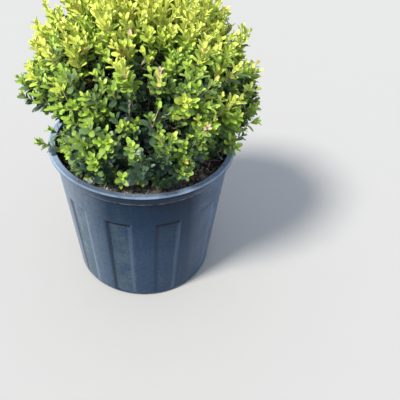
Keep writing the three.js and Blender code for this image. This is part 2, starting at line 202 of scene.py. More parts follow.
class Value:
    """One socket of a material: sums, products and powers of values add their Math nodes."""

    def __init__(self, tree, socket):
        self.tree = tree
        self.socket = socket

    def math(self, operation, *terms, clamp=False):
        """A Math node of that operation on the terms."""
        made = self.tree.nodes.new("ShaderNodeMath")
        made.operation = operation
        made.use_clamp = clamp
        for socket, term in zip(made.inputs, terms):
            plug(self.tree, socket, term)
        return Value(self.tree, made.outputs[0])

    def __add__(self, other):
        return self.math("ADD", self, other)

    def __sub__(self, other):
        return self.math("SUBTRACT", self, other)

    def __rsub__(self, other):
        return self.math("SUBTRACT", other, self)

    def __mul__(self, other):
        return self.math("MULTIPLY", self, other)

    def __truediv__(self, other):
        return self.math("DIVIDE", self, other)

    def __pow__(self, other):
        return self.math("POWER", self, other)

    __radd__ = __add__
    __rmul__ = __mul__

    def clamped(self):
        """The value itself between 0 and 1, and the nearer of them outside."""
        return self.math("ADD", self, 0, clamp=True)

    def above(self, low, high):
        """0 under low, 1 over high, and a straight rise between them."""
        return ((self - low) / (high - low)).clamped()

    def band(self, start, full, fading, gone):
        """A rise from start to full and a fall from fading to gone."""
        return self.above(start, full) * (1 - self.above(fading, gone))


def plug(tree, socket, term):
    """Links a value to a socket, or sets the socket to a number, colour or vector."""
    if isinstance(term, Value):
        tree.links.new(term.socket, socket)
    else:
        socket.default_value = term


class Finish:
    """A material in the making, with its shader's even values given by socket name."""

    def __init__(self, name, **even):
        self.material = bpy.data.materials.new(name)
        self.material.use_nodes = True
        self.tree = self.material.node_tree
        self.shader = self.tree.nodes["Principled BSDF"]
        for socket, value in even.items():
            self.shader.inputs[socket.replace("_", " ")].default_value = value

    def node(self, kind, settings=None, inputs=None, output=0):
        """Any node: its type, its settings, which are set first, and values by socket."""
        made = self.tree.nodes.new("ShaderNode" + kind)
        for name, value in (settings or {}).items():
            if name == "stops":
                for stop, (place, colour) in enumerate(value):
                    if stop > 1:
                        made.color_ramp.elements.new(place)
                    made.color_ramp.elements[stop].position = place
                    made.color_ramp.elements[stop].color = colour
            else:
                setattr(made, name, value)
        for socket, value in (inputs or {}).items():
            plug(self.tree, made.inputs[socket], value)
        return Value(self.tree, made.outputs[output])

    def place(self):
        """A place on the piece, in its own coordinates and in metres."""
        return self.node("TexCoord", output=3)

    def lengths(self):
        """How far to the right, back and up a place on the piece is, in millimetres."""
        apart = self.node("SeparateXYZ", inputs={"Vector": self.place()})
        return [Value(self.tree, length) * 1000 for length in apart.socket.node.outputs]

    def grain(self, scale, detail, stretch=(1, 1, 1)):
        """Noise on the piece's own coordinates, so many lumps to the metre."""
        spread = self.node("Mapping", inputs={"Vector": self.place(), "Scale": stretch})
        noisy = {"Vector": spread, "Scale": scale, "Detail": detail, "Roughness": 0.55}
        return self.node("TexNoise", inputs=noisy)

    def mix(self, share, first, second, blend="MIX"):
        """Two colours mixed by a share."""
        settings = {"data_type": "RGBA", "blend_type": blend}
        return self.node("Mix", settings, {0: share, 6: first, 7: second}, output=2)

    def bump(self, height, distance, strength=1.0):
        """Relief that many metres high, on the shader's Normal."""
        raised = self.node("Bump", inputs={"Height": height, "Distance": distance, "Strength": strength})
        self.feed("Normal", raised)

    def feed(self, socket, value):
        plug(self.tree, self.shader.inputs[socket], value)

    def onto(self, piece):
        piece.data.materials.clear()
        piece.data.materials.append(self.material)


# Besides the plastic's own blues, bloom and dust, the pot carries painted light: paler sheens on its sides,
# painted highlights on edges, and painted shade in recesses and under the collar.
PLASTIC = (0.0015, 0.013, 0.034, 1)
PLASTIC_LOW = (0.011, 0.032, 0.076, 1)
PLASTIC_RIGHT_REFLECTION = (0.075, 0.115, 0.190, 1)
PLASTIC_PAINTED_SHEEN = (0.130, 0.175, 0.240, 1)
PLASTIC_BLOOM = (0.090, 0.125, 0.185, 1)
PLASTIC_WORN_AND_HIGHLIGHT = (0.230, 0.290, 0.370, 1)
PLASTIC_CHALKY_AND_LIT = (0.330, 0.450, 0.640, 1)
PAINTED_LIP_HIGHLIGHT = (0.420, 0.520, 0.640, 1)
STIPPLE_TINT = (1.6, 1.5, 1.42, 1)
DUST = (0.055, 0.082, 0.098, 1)
# near-black painted shade, for the shadows under overhangs and on slopes turned from the light
PAINTED_SHADE = (0.002, 0.004, 0.010, 1)

plastic = Finish("pot_plastic", IOR=1.5, Specular_IOR_Level=0.15)
across, back, up = plastic.lengths()
left = across * -1
radius = (across * across + back * back) ** 0.5
wall = up * ((NECK_RADIUS - FOOT_RADIUS) / NECK_HEIGHT) + FOOT_RADIUS
rise = (up - PANEL_FOOT) / (PANEL_HEAD - PANEL_FOOT)
depth = rise * (PANEL_DEPTH_HEAD - PANEL_DEPTH_FOOT) + PANEL_DEPTH_FOOT
sunk = ((wall - radius) / depth).clamped() * (1 - up.above(PANEL_HEAD, PANEL_HEAD + 1))
recess = sunk.above(0.6, 0.95)
around = across.math("ARCTAN2", across, back * -1)
turn_share = around.math("FRACT", (around - left_edge) * (PANELS / (2 * math.pi)))
slopes = sunk.band(0.06, 0.25, 0.7, 0.93)
lit_slope = slopes * turn_share.above(0.4, 0.45)
# painted shade on the slope of each recess that faces away from the key light
painted_shade_slope = slopes * (1 - turn_share.above(0.15, 0.2))
# painted shadow under the overhanging head of each recess
painted_head_shadow = sunk.above(0.3, 0.5) * (up - PANEL_HEAD).above(-8.2, -6)
over_neck = up - NECK_HEIGHT
# painted shadow in a thin line under the collar's step
painted_collar_shadow = over_neck.band(-3.5, -1.5, 0.2, 0.8)
collar_edge = over_neck.band(0.6, 1.2, 3, 4)
over_rim = up - POT_HEIGHT
past_edge = radius - LIP_RADIUS
lip_top = over_rim.above(-2.5, -1.5) * past_edge.above(-11.5, -10)
lip_edge = over_rim.above(-2.5, -1.8) * past_edge.above(-2.1, -1.6)

blotches = plastic.grain(38, 5)
specks = plastic.grain(420, 3)
streaks = plastic.grain(170, 4, (1, 1, 0.05))
stipple = plastic.grain(230, 5, (1, 1, 1.6))
scuffs = plastic.grain(90, 4)
low_down = 1 - up.above(0, 160)
# this share, stronger on the left, sets both the dust and the painted shade on the recess slopes
dusty_and_shaded_side = 0.25 + 0.75 * left.above(-45, 0)
dust = (blotches.above(0.36, 0.62) * 0.6 + specks.above(0.46, 0.62) * 0.5) * (0.25 + 0.75 * recess)
dust = (dust + streaks.above(0.54, 0.70) * 0.3) * dusty_and_shaded_side + low_down * specks.above(0.42, 0.66) * 0.4
dust = (dust * (1 - 0.3 * up.above(110, 180)) * (1 - 0.7 * up.above(195, 222))).clamped()
# A share that rises to either side of the pot's front middle; it scales the painted highlight on the recess
# slopes and the painted shadow under the recess heads.
off_front = 0.35 + 0.65 * across.math("ABSOLUTE", across - 30).above(50, 90)
# chalky dust on the lip, and painted light: the lip is painted paler on the left, where it catches the key
# light and the sky, and on the right, where the crown's shadow falls on it
chalky_and_lit = (across.above(-30, 140) + left.above(70, 118)) * (0.7 + 0.3 * scuffs.above(0.3, 0.55))

colour = PLASTIC
for share, layer in (
    (1 - up.above(100, 215), PLASTIC_LOW),
    # painted reflection: the right side is painted paler blue, a glancing sheen of the sky
    (across.above(80, 110) * (0.5 + 0.5 * blotches.above(0.3, 0.6)), PLASTIC_RIGHT_REFLECTION),
    # painted sheen: the left side, which faces the key light, is painted paler
    (left.above(30, 105) * (0.7 + 0.3 * streaks.above(0.3, 0.6)), PLASTIC_PAINTED_SHEEN),
    (dust * 0.8, DUST),
):
    colour = plastic.mix(share, colour, layer)
colour = plastic.mix(stipple.above(0.38, 0.62) * 0.7, colour, STIPPLE_TINT, "MULTIPLY")
for share, layer in (
    # painted highlight on the slope of each recess that faces the key light
    (lit_slope * off_front * (0.4 + 0.4 * streaks.above(0.4, 0.6)), PLASTIC_PAINTED_SHEEN),
    # painted shade on the recess slopes and painted shadows under the recess heads and the collar
    (painted_shade_slope * dusty_and_shaded_side * 0.6, PAINTED_SHADE),
    (painted_head_shadow * (1.15 - 0.75 * off_front), PAINTED_SHADE),
    (painted_collar_shadow * 0.7, PAINTED_SHADE),
    # painted highlight along the collar's rounded lower edge, broken up by scuffs
    (collar_edge * scuffs.above(0.42, 0.6) * 0.35, PLASTIC_WORN_AND_HIGHLIGHT),
    (lip_top * (0.6 + 0.4 * scuffs.above(0.22, 0.5)), PLASTIC_BLOOM),
    # wear and a painted highlight along the lip's outer edge
    (lip_edge * (0.05 + 0.3 * scuffs.above(0.30, 0.58)), PLASTIC_WORN_AND_HIGHLIGHT),
    # chalky dust and painted light on the lip's top
    ((lip_top - lip_edge * 0.45) * chalky_and_lit * 0.85, PLASTIC_CHALKY_AND_LIT),
    # painted highlight along the lip's edge
    (lip_edge * chalky_and_lit * 0.15, PAINTED_LIP_HIGHLIGHT),
):
    colour = plastic.mix(share, colour, layer)
plastic.feed("Base Color", colour)
plastic.feed("Roughness", (0.34 + dust * 0.34).clamped())
plastic.bump(specks * 0.6 + streaks * 0.4, 0.0004, 0.5)
plastic.onto(pot)
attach(pot, "root")
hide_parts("pot")

# The potting mix: dark damp composted bark that fills the pot to about its collar and is a little
# humped round the stem. It was poured in round the roots. Its top is painted pale at the front,
# partly as dried mix and partly as painted light where the crown shades it.
SOIL_CROWN = 224
SOIL_EDGE = 218
SOIL_BOTTOM = 7.1
SOIL_PROFILE = [(24, SOIL_CROWN), (62, 223), (105, 221), (127.6, SOIL_EDGE)]
SOIL_GAP = 0.4
SOIL_RINGS = 40
SOIL_STEPS = 180
SOIL_LUMPS = [(9, 1.6), (3.5, 1.1)]
MIX_BROWNS = [
    (0.30, (0.017, 0.015, 0.013, 1)),
    (0.52, (0.086, 0.075, 0.062, 1)),
    (0.70, (0.240, 0.215, 0.180, 1)),
]
DRIED_AND_LIT_TINT = (4.0, 4.3, 4.2, 1)


def soil_height(from_middle):
    """The height of the mix's surface, at a distance from the middle of the pot."""
    distances, heights = zip(*SOIL_PROFILE)
    return float(np.interp(from_middle, distances, heights))


def inside_pot(height):
    """How far the mix reaches from the middle of the pot at a height."""
    return wall_radius(height) - WALL - SOIL_GAP


rings = np.linspace(inside_pot(SOIL_EDGE), 0, SOIL_RINGS)
soil_outline = [(0, SOIL_BOTTOM), (inside_pot(SOIL_BOTTOM), SOIL_BOTTOM)]
soil_outline += [(float(ring), soil_height(ring)) for ring in rings]
mix_bed = spun(soil_outline, SOIL_STEPS)
for vert in mix_bed.verts:
    from_middle = Vector((vert.co.x, vert.co.y)).length
    if vert.co.z > SOIL_BOTTOM + 1 and from_middle < rings[1] + 0.1:
        vert.co.z += sum(noise.noise(vert.co / size) * rise for size, rise in SOIL_LUMPS)
bed = piece_of(mix_bed, "potting_mix", crease=70)

mix_finish = Finish("potting_mix", Roughness=0.95, Specular_IOR_Level=0.25)
crumbs = mix_finish.grain(330, 6)
patches = mix_finish.grain(60, 4)
browns = mix_finish.node("ValToRGB", {"stops": MIX_BROWNS}, {"Fac": crumbs * 0.65 + patches * 0.35})
across, back, _ = mix_finish.lengths()
# dried mix and painted light: the front of the mix is painted about four times paler, where the crown
# shades it
dried = (back * -1).above(80, 105) * across.above(-60, -30)
mix_finish.feed("Base Color", mix_finish.mix(dried, browns, DRIED_AND_LIT_TINT, "MULTIPLY"))
mix_finish.bump(crumbs, 0.003)
mix_finish.onto(bed)
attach(bed, "root")
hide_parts("soil")

# The litter: flat chips of bark and pale grit that lie loose on the mix, and a few crumbs of the
# same bark that were left on the lip when the pot was filled.
LITTER_SEED = 511
CHIPS = 1500
GRIT = 640
LIP_CRUMBS = 46
LITTER_RING = (12, 123)
LITTER_LIFT = 0.4
LITTER_LEAN = 0.5
LIP_RING = (LIP_RADIUS - 8.5, LIP_RADIUS - 3.5)
LIP_TOP = POT_HEIGHT - 0.7
CHIP_BROWNS = [
    (0.32, (0.070, 0.048, 0.040, 1)),
    (0.50, (0.240, 0.180, 0.148, 1)),
    (0.66, (0.600, 0.530, 0.460, 1)),
]
GRIT_GREYS = [
    (0.35, (0.30, 0.26, 0.22, 1)),
    (0.65, (0.66, 0.62, 0.55, 1)),
]


class Bundle:
    """Many small shapes of one kind, gathered as arrays in millimetres and made into one mesh."""

    def __init__(self):
        self.points = []
        self.faces = []
        self.count = 0

    def add(self, points, faces):
        self.points.append(points)
        self.faces.append(faces + self.count)
        self.count += len(points)

    def piece(self, name, crease):
        mesh = bpy.data.meshes.new(name)
        mesh.from_pydata(np.concatenate(self.points) / 1000, [], np.concatenate(self.faces))
        return object_of(mesh, crease)


def arrays_of(bm):
    """A bmesh as an array of points and an array of faces that all have as many corners."""
    bm.verts.index_update()
    points = np.array([vert.co[:] for vert in bm.verts])
    faces = np.array([[vert.index for vert in face.verts] for face in bm.faces])
    bm.free()
    return points, faces


class Chance:
    """Repeatable chance, drawn as the solids draw it."""

    def __init__(self, seed):
        self.state = seed

    def next(self):
        self.state = self.state * 48271 % 2147483647
        return self.state / 2147483647

    def between(self, low, high):
        return low + (high - low) * self.next()


pebble = bmesh.new()
bmesh.ops.create_icosphere(pebble, subdivisions=1, radius=1)
pebble_points, pebble_faces = arrays_of(pebble)
litter_chance = Chance(LITTER_SEED)


def lie_down(bundle, sizes, ring, height_at):
    """Drops one crumb of the given half length, breadth and thickness in a ring round the middle."""
    turn = litter_chance.between(0, 2 * math.pi)
    from_middle = math.sqrt(litter_chance.between(ring[0] ** 2, ring[1] ** 2))
    lean = Matrix.Rotation(litter_chance.between(-LITTER_LEAN, LITTER_LEAN), 3, "X")
    lean = lean @ Matrix.Rotation(litter_chance.between(-LITTER_LEAN, LITTER_LEAN), 3, "Y")
    spin = Matrix.Rotation(litter_chance.between(0, 2 * math.pi), 3, "Z")
    rough = np.array([litter_chance.between(0.7, 1.25) for _ in pebble_points])[:, None]
    shape = pebble_points * rough * np.array(sizes)
    shape = shape @ np.array(lean @ spin).T
    middle = np.array([
        from_middle * math.sin(turn),
        -from_middle * math.cos(turn),
        height_at(from_middle) + sizes[2] * 0.55,
    ])
    bundle.add(shape + middle, pebble_faces)


def on_mix(from_middle):
    return soil_height(from_middle) + LITTER_LIFT


chips = Bundle()
for _ in range(CHIPS):
    long = litter_chance.between(1.4, 4.6)
    wide = long * litter_chance.between(0.35, 0.75)
    thick = litter_chance.between(0.5, 1.2)
    lie_down(chips, (long, wide, thick), LITTER_RING, on_mix)
grit = Bundle()
for _ in range(GRIT):
    long = litter_chance.between(0.9, 2.5)
    lie_down(grit, (long, long * 0.8, long * 0.6), LITTER_RING, on_mix)
lip_crumbs = Bundle()
for _ in range(LIP_CRUMBS):
    long = litter_chance.between(0.6, 1.9)
    lie_down(lip_crumbs, (long, long * 0.7, long * 0.45), LIP_RING, lambda _: LIP_TOP)

chip_piece = chips.piece("bark_chips", crease=30)
chip_finish = Finish("bark_chips", Roughness=0.9)
chip_browns = chip_finish.node("ValToRGB", {"stops": CHIP_BROWNS}, {"Fac": chip_finish.grain(210, 3)})
chip_finish.feed("Base Color", chip_browns)
chip_finish.bump(chip_finish.grain(900, 4, (1, 0.3, 1)), 0.0008)
chip_finish.onto(chip_piece)
grit_piece = grit.piece("grit", crease=30)
grit_finish = Finish("grit", Roughness=0.8)
grit_greys = grit_finish.node("ValToRGB", {"stops": GRIT_GREYS}, {"Fac": grit_finish.grain(190, 3)})
grit_finish.feed("Base Color", grit_greys)
grit_finish.onto(grit_piece)
crumb_piece = lip_crumbs.piece("crumbs_on_lip", crease=30)
chip_finish.onto(crumb_piece)
for litter in (chip_piece, grit_piece, crumb_piece):
    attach(litter, "root")

# The woody frame: one short stem that leaves the mix upright and flares at its foot, with eleven
# boughs that fork from it inside the crown. Their bark is grey-tan, fissured and slightly corky.
UP = Vector((0, 0, 1))
CROWN_CENTRE = Vector((0, 0, 318))
STEM_FOOT = Vector((0, 0, SOIL_CROWN + 0.3))
STEM_SUNK = 2
STEM_BEND = Vector((0, 0, 256))
STEM_TOP = Vector((6, 4, 286))
STEM_RADIUS = 8
STEM_TAPER = 2.2
STEM_RINGS = 34
STEM_SIDES = 24
STEM_RELIEF = 0.13
ROOT_FLARE = 7
ROOT_FLARE_FALL = 11
BOUGH_ROOT = 4.2
BOUGH_TIP = 2.9
BOUGH_RINGS = 22
BOUGH_SIDES = 12
BOUGH_RELIEF = 0.11
BOUGH_SPREAD = 20
BOUGH_RISE = 13
BOUGH_LIFT = 0.45
BOUGH_REACH = 51
BOUGH_ROWS = [
    ("top", 1, 90, 0, [1]),
    ("upper", 4, 36, 27, [0.62, 0.48]),
    ("lower", 6, -10, 8, [0.32, 0.18]),
]
BARK_BROWNS = [
    (0.34, (0.045, 0.030, 0.017, 1)),
    (0.52, (0.165, 0.120, 0.068, 1)),
    (0.70, (0.330, 0.270, 0.170, 1)),
]
LICHEN = (0.24, 0.27, 0.19, 1)


def shares(count):
    """So many shares, evenly spread from 0 to 1."""
    return [step / (count - 1) for step in range(count)]


def bezier(controls, count):
    """Points evenly spread in share along a curve through any number of control points."""
    made = []
    for share in shares(count):
        level = list(controls)
        while len(level) > 1:
            level = [a.lerp(b, share) for a, b in zip(level, level[1:])]
        made.append(level[0])
    return made


def limb(bm, points, radii, sides, relief):
    """Extrudes a ring of bark along points, with ridges that run along the limb."""
    side = (points[1] - points[0]).orthogonal().normalized()
    for step, (point, radius) in enumerate(zip(points, radii)):
        ahead = points[min(step + 1, len(points) - 1)] - points[max(step - 1, 0)]
        side = (side - side.project(ahead)).normalized()
        across = ahead.normalized().cross(side)
        if step == 0:
            ring = bmesh.ops.create_circle(bm, segments=sides, radius=1)["verts"]
            ring_edges = list(dict.fromkeys(edge for vert in ring for edge in vert.link_edges))
            bmesh.ops.contextual_create(bm, geom=ring_edges)
            slots = {vert: slot for slot, vert in enumerate(ring)}
        else:
            grown = bmesh.ops.extrude_edge_only(bm, edges=ring_edges)["geom"]
            ring_edges = [part for part in grown if isinstance(part, bmesh.types.BMEdge)
                          and all(vert in grown for vert in part.verts)]
            ring = [part for part in grown if isinstance(part, bmesh.types.BMVert)]
            slots = {vert: next(slots[edge.other_vert(vert)] for edge in vert.link_edges
                                if edge.other_vert(vert) in slots) for vert in ring}
        for vert, slot in slots.items():
            turn = 2 * math.pi * slot / sides
            out = side * math.cos(turn) + across * math.sin(turn)
            ridge = noise.noise(Vector((out.x * 2.3, out.y * 2.3, point.z / 26)) * 1.7 + point / 40)
            crack = noise.noise(out * 5 + point / 7)
            vert.co = point + out * radius * (1 + relief * (ridge + 0.5 * crack))
    bmesh.ops.contextual_create(bm, geom=ring_edges)


stem_points = bezier([STEM_FOOT - UP * STEM_SUNK, STEM_BEND, STEM_TOP], STEM_RINGS)
stem_radii = [STEM_RADIUS - STEM_TAPER * share + ROOT_FLARE * math.exp(-ROOT_FLARE_FALL * share)
              for share in shares(STEM_RINGS)]
limbs = bmesh.new()
limb(limbs, stem_points, stem_radii, STEM_SIDES, STEM_RELIEF)

masses = []
for name, count, elevation, turn, forks in BOUGH_ROWS:
    for number in range(count):
        rise = math.radians(elevation)
        around = math.radians(turn + 360 * number / count)
        way = Vector((math.cos(rise) * math.cos(around), math.cos(rise) * math.sin(around), math.sin(rise)))
        root = stem_points[round(forks[number % len(forks)] * (STEM_RINGS - 1))]
        tip = CROWN_CENTRE + way * BOUGH_REACH
        leaving = Vector((BOUGH_SPREAD * way.x, BOUGH_SPREAD * way.y, BOUGH_RISE))
        arriving = (way + UP * BOUGH_LIFT).normalized() * BOUGH_SPREAD
        points = bezier([root, root + leaving, tip - arriving, tip], BOUGH_RINGS)
        radii = [BOUGH_ROOT + (BOUGH_TIP - BOUGH_ROOT) * share for share in shares(BOUGH_RINGS)]
        limb(limbs, points, radii, BOUGH_SIDES, BOUGH_RELIEF)
        masses.append({
            "name": name if count == 1 else f"{name}_{number + 1}",
            "way": way,
            "tip": tip,
            "along": arriving.normalized(),
            "goals": [],
        })

bmesh.ops.recalc_face_normals(limbs, faces=limbs.faces[:])
wood = piece_of(limbs, "stem_and_boughs", crease=80)
bark = Finish("bark", Roughness=0.88)
fissures = bark.grain(520, 5, (1, 1, 0.25))
lichen_share = bark.grain(120, 4).above(0.58, 0.68) * 0.5
bark_browns = bark.node("ValToRGB", {"stops": BARK_BROWNS}, {"Fac": fissures})
bark.feed("Base Color", bark.mix(lichen_share, bark_browns, LICHEN))
bark.bump(fissures, 0.0016)
bark.onto(wood)
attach(wood, "root")
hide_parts("stem", *["bough_" + mass["name"] for mass in masses])

# The crown's twigs: they grow on from the boughs' tips and fork in two until each carries one
# coarse shoot, which forks on near the ball's surface into the fine shoots that carry the leaves.
# Some fine shoots hang low over the lip or stand proud of the clipped ball, a few of them leggy.
CROWN_RADIUS = 160
SWELL = 0.022
TUCK = 0.11
TUCK_START = 0.02
TUCK_END = 0.35
TUCK_LEAN = 0.1
DENT = 0.17
DENT_ANGLE = math.radians(11)
DENT_WAY = Vector((-0.87, -0.46, -0.17)).normalized()
LIP_CLEAR = POT_HEIGHT + 8
IN_POT = NECK_RADIUS - WALL - 5
SOIL_CLEAR = 4
SHOOT_SEED = 20736
SHOOTS = 104
LOWEST_SHOOT = -0.74
COARSE_INSET = 30
INSET = 0.05
FORK_SHARE = 0.2
SHOOT_FOOT = 0.74
TUFT_ANGLE = 0.19
TUFT_DOME = 15
SPRAY_SEED = 9041
SPRAY_START = 0.4
SPRAY_LONG = (34, 62)
SPRAY_SHORT = (16, 30)
SPRAY_SHORTEST = 9
SPRAY_TRIM = 5
SPRAY_LEAN = 0.72
SPRAY_WANDER = 0.3
SPRAY_FOOT_CLEAR = 9
SPRAY_OVERREACH = 8
SPRAY_RINGS = 7
CLUSTERS = 440
CLUSTER_INSET = (-5, 18)
CLUSTER_SPRAYS = (2, 5)
CLUSTER_SPREAD = 11.5
CLUSTER_DROP = 14
CLUSTER_OPENING = 0.034
INNER_SPRAYS = 900
INNER_INSET = (34, 64)
INNER_WANDER = 0.5
TWIG_SEED = 77
TWIG_TIP = 0.54
TWIG_POWER = 0.35
TWIG_TAPER = (1.1, 1.05, 1)
TWIG_RINGS = 3
BOUGH_END_STEPS = (-2, 8, 17)
BOUGH_END_RADII = (BOUGH_TIP - 0.1, BOUGH_TIP - 0.1, BOUGH_TIP - 0.2)
YOUNG_BARK = (0.58, 0.52, 0.24, 1)
YOUNG_BARK_RED = (0.64, 0.48, 0.30, 1)
LOW_TIPS = [
    (-138, -60, 257), (-132, -64, 261), (-128, -27, 256), (-99, -64, 254), (-89, -80, 252),
    (-78, -93, 250), (-68, -99, 246), (-55, -108, 245), (-46, -106, 246), (-33, -115, 245),
    (-14, -115, 246), (11, -108, 246), (119, -18, 251), (109, -30, 249), (58, -98, 247),
]
LOW_LEAN = 1.4
LOW_LENGTH = 40
PROUD_TIPS = [
    ((-119, -4, 428), (-0.30, 0.05, 1)),
    ((159, -30, 303), (1, -0.1, 0.5)),
    ((154, -22, 318), (1, 0, 0.8)),
    ((132, -46, 298), (0.8, -0.6, 0.7)),
    ((93, -125, 347), (0.5, -0.7, 1)),
    ((37, -115, 408), (0.15, -0.45, 1)),
    ((71, -121, 376), (0.3, -0.6, 1)),
    ((9, -151, 332), (0.1, -0.8, 1)),
    ((-41, -143, 349), (-0.1, -0.7, 1)),
]
PROUD_LENGTH = 48
LEGGY_TIPS = [
    ((118, -22, 251), (0.85, 0.44, 0.28)),
    ((103, -8, 264), (0.61, 0.30, 0.73)),
    ((37, -128, 368), (0.23, -0.23, 0.95)),
    ((-73, -116, 374), (-0.06, -0.34, 0.94)),
    ((82, -121, 327), (0.22, -0.45, 0.87)),
    ((-24, -138, 313), (0.22, -0.48, 0.85)),
]
HOLLOWS_PX = [
    ((141, 72), (11, 16)), ((146, 94), (9, 10)), ((99, 72), (8, 13)), ((98, 94), (6, 6)),
    ((117, 112), (8, 7)), ((158, 108), (9, 9)), ((144, 122), (5, 5)), ((174, 128), (9, 8)),
    ((151, 142), (7, 5)), ((115, 167), (9, 5)), ((156, 56), (9, 9)), ((165, 171), (9, 5)),
    ((213, 167), (13, 10)), ((62, 128), (6, 10)), ((42, 122), (22, 13)), ((69, 63), (6, 7)),
    ((139, 187), (19, 8)), ((179, 183), (9, 7)), ((204, 168), (12, 9)),
]
HOLLOWS_BEHIND = 55
HOLLOW_PROBES = (2, 12, 24)


def share_of(value, low, high):
    """How far a value is on its way from low to high, from 0 to 1."""
    return min(1, max(0, (value - low) / (high - low)))


def eased(share):
    """A share from 0 to 1, eased at both its ends."""
    return share * share * (3 - 2 * share)


def way_to(point):
    """The way from the crown's middle to a point."""
    return (point - CROWN_CENTRE).normalized()


def side_of(axis, turn):
    """A way square to an axis, turned round it."""
    side = axis.orthogonal().normalized()
    side.rotate(Quaternion(axis, turn))
    return side


def reach(way):
    """How far leaves reach from the crown's middle: the clipped ball, tucked in under its sides."""
    swell = math.sin(4.7 * way.y + 5 * way.z + 1.2) - math.cos(4.1 * way.x)
    under = share_of(-way.z - TUCK_LEAN * way.x, TUCK_START, TUCK_END)
    tuck = TUCK * eased(under)
    dent = DENT * math.exp(-((way.angle(DENT_WAY) / DENT_ANGLE) ** 2))
    ball = CROWN_RADIUS * (1 + SWELL * swell) * (1 - tuck) * (1 - dent)
    if CROWN_CENTRE.z + ball * way.z > LIP_CLEAR:
        return ball
    in_pot = IN_POT / math.hypot(way.x, way.y)
    to_soil = (SOIL_CROWN + SOIL_CLEAR - CROWN_CENTRE.z) / way.z
    return min(ball, in_pot, to_soil)


def wander(chance, amount):
    """A small step any way."""
    return Vector([chance.between(-amount, amount) for _ in range(3)])


def spread_tips(chance, count, inset):
    """Points spread evenly over the ball, each set in from the leaves' reach by chance."""
    golden_turn = math.pi * (3 - math.sqrt(5))
    tips = []
    for number in range(count):
        height = 1 - 2 * (number + 0.5) / count + chance.between(-0.02, 0.02)
        turn = number * golden_turn + chance.between(-0.1, 0.1)
        depth = chance.between(*inset)
        if height < LOWEST_SHOOT or height > 1:
            continue
        level = math.sqrt(1 - height * height)
        way = Vector((level * math.cos(turn), level * math.sin(turn), height))
        tips.append(CROWN_CENTRE + way * (reach(way) - depth))
    return tips


def halves(shoots, place=lambda shoot: shoot):
    """Splits shoots in two halves across their places' widest spread."""
    places = [place(shoot) for shoot in shoots]
    spread = [max(spot[axis] for spot in places) - min(spot[axis] for spot in places) for axis in range(3)]
    axis = spread.index(max(spread))
    ordered = sorted(shoots, key=lambda shoot: place(shoot)[axis])
    middle = math.ceil(len(ordered) / 2)
    return ordered[:middle], ordered[middle:]


coarse_inset = (COARSE_INSET * 0.5, COARSE_INSET * 0.85)
for tip in spread_tips(Chance(SHOOT_SEED), SHOOTS, coarse_inset):
    out = tip - CROWN_CENTRE
    nearest = max(masses, key=lambda mass: out.dot(mass["way"]))
    goal = tip.lerp(CROWN_CENTRE + nearest["way"] * out.length, INSET)
    nearest["goals"].append(goal)

shoot_goals = [goal for mass in masses for goal in mass["goals"]]
shoot_ways = np.array([way_to(goal)[:] for goal in shoot_goals])
shoot_sprays = [[] for _ in shoot_goals]
spray_chance = Chance(SPRAY_SEED)
to_viewer = way_to(CAMERA_PLACE * 1000)


def in_hollow(point):
    """Whether a point at the front of the crown shows in one of the hollows between the shoots."""
    if (point - CROWN_CENTRE).dot(to_viewer) < -HOLLOWS_BEHIND:
        return False
    across, down = frame_pixel(point)
    return any(((across - middle[0]) / half[0]) ** 2 + ((down - middle[1]) / half[1]) ** 2 < 1
               for middle, half in HOLLOWS_PX)


def room_under(tip, facing):
    """How long a shoot can be before its foot is too near the mix."""
    return (tip.z - SOIL_CROWN - SPRAY_FOOT_CLEAR) / max(0.2, facing.z)


def hang_spray(nearest, tip, facing, length):
    """Gives one leafy shoot, with its foot, to the coarse shoot that is to carry it."""
    shoot_sprays[nearest].append((tip - facing * length, tip, facing))


def hang_chance_spray(nearest, tip, facing, lengths):
    """Hangs a spray as long as chance, the mix and the hollows let it be."""
    length = max(SPRAY_SHORTEST, min(spray_chance.between(*lengths), room_under(tip, facing)))
    while length > SPRAY_SHORTEST + SPRAY_TRIM and in_hollow(tip - facing * length):
        length -= SPRAY_TRIM
    hang_spray(nearest, tip, facing, length)


def nearest_shoot(way):
    """The coarse shoot that stands nearest, and how far from its tuft's middle, 1 at the edge."""
    closeness = shoot_ways @ np.array(way[:])
    nearest = int(np.argmax(closeness))
    return nearest, math.acos(min(1, float(closeness[nearest]))) / TUFT_ANGLE


for middle in spread_tips(Chance(SPRAY_SEED + 1), CLUSTERS, CLUSTER_INSET):
    way = way_to(middle)
    nearest, apart = nearest_shoot(way)
    middle -= way * min(TUFT_DOME * 1.4, TUFT_DOME * apart * apart)
    upright = (way * SPRAY_LEAN + UP + wander(spray_chance, SPRAY_WANDER)).normalized()
    turn = spray_chance.between(0, 2 * math.pi)
    count = round(spray_chance.between(*CLUSTER_SPRAYS))
    for number in range(count):
        side = side_of(upright, turn + 2 * math.pi * number / count + spray_chance.between(-0.5, 0.5))
        aside = CLUSTER_SPREAD * spray_chance.between(0.35, 1)
        tip = middle + side * aside - upright * spray_chance.between(0, CLUSTER_DROP)
        facing = (upright + side * aside * CLUSTER_OPENING + wander(spray_chance, 0.08)).normalized()
        if (tip - CROWN_CENTRE).length > reach(way_to(tip)) + SPRAY_OVERREACH:
            continue
        if any(in_hollow(tip - facing * back) for back in HOLLOW_PROBES):
            continue
        hang_chance_spray(nearest, tip, facing, SPRAY_LONG)
for tip in spread_tips(Chance(SPRAY_SEED + 2), INNER_SPRAYS, INNER_INSET):
    way = way_to(tip)
    facing = (way * SPRAY_LEAN + UP + wander(spray_chance, INNER_WANDER)).normalized()
    hang_chance_spray(nearest_shoot(way)[0], tip, facing, SPRAY_SHORT)
for place in LOW_TIPS:
    tip = Vector(place)
    facing = (Vector((tip.x, tip.y, 0)).normalized() * LOW_LEAN + UP).normalized()
    hang_spray(nearest_shoot(way_to(tip))[0], tip, facing, min(LOW_LENGTH, room_under(tip, facing)))
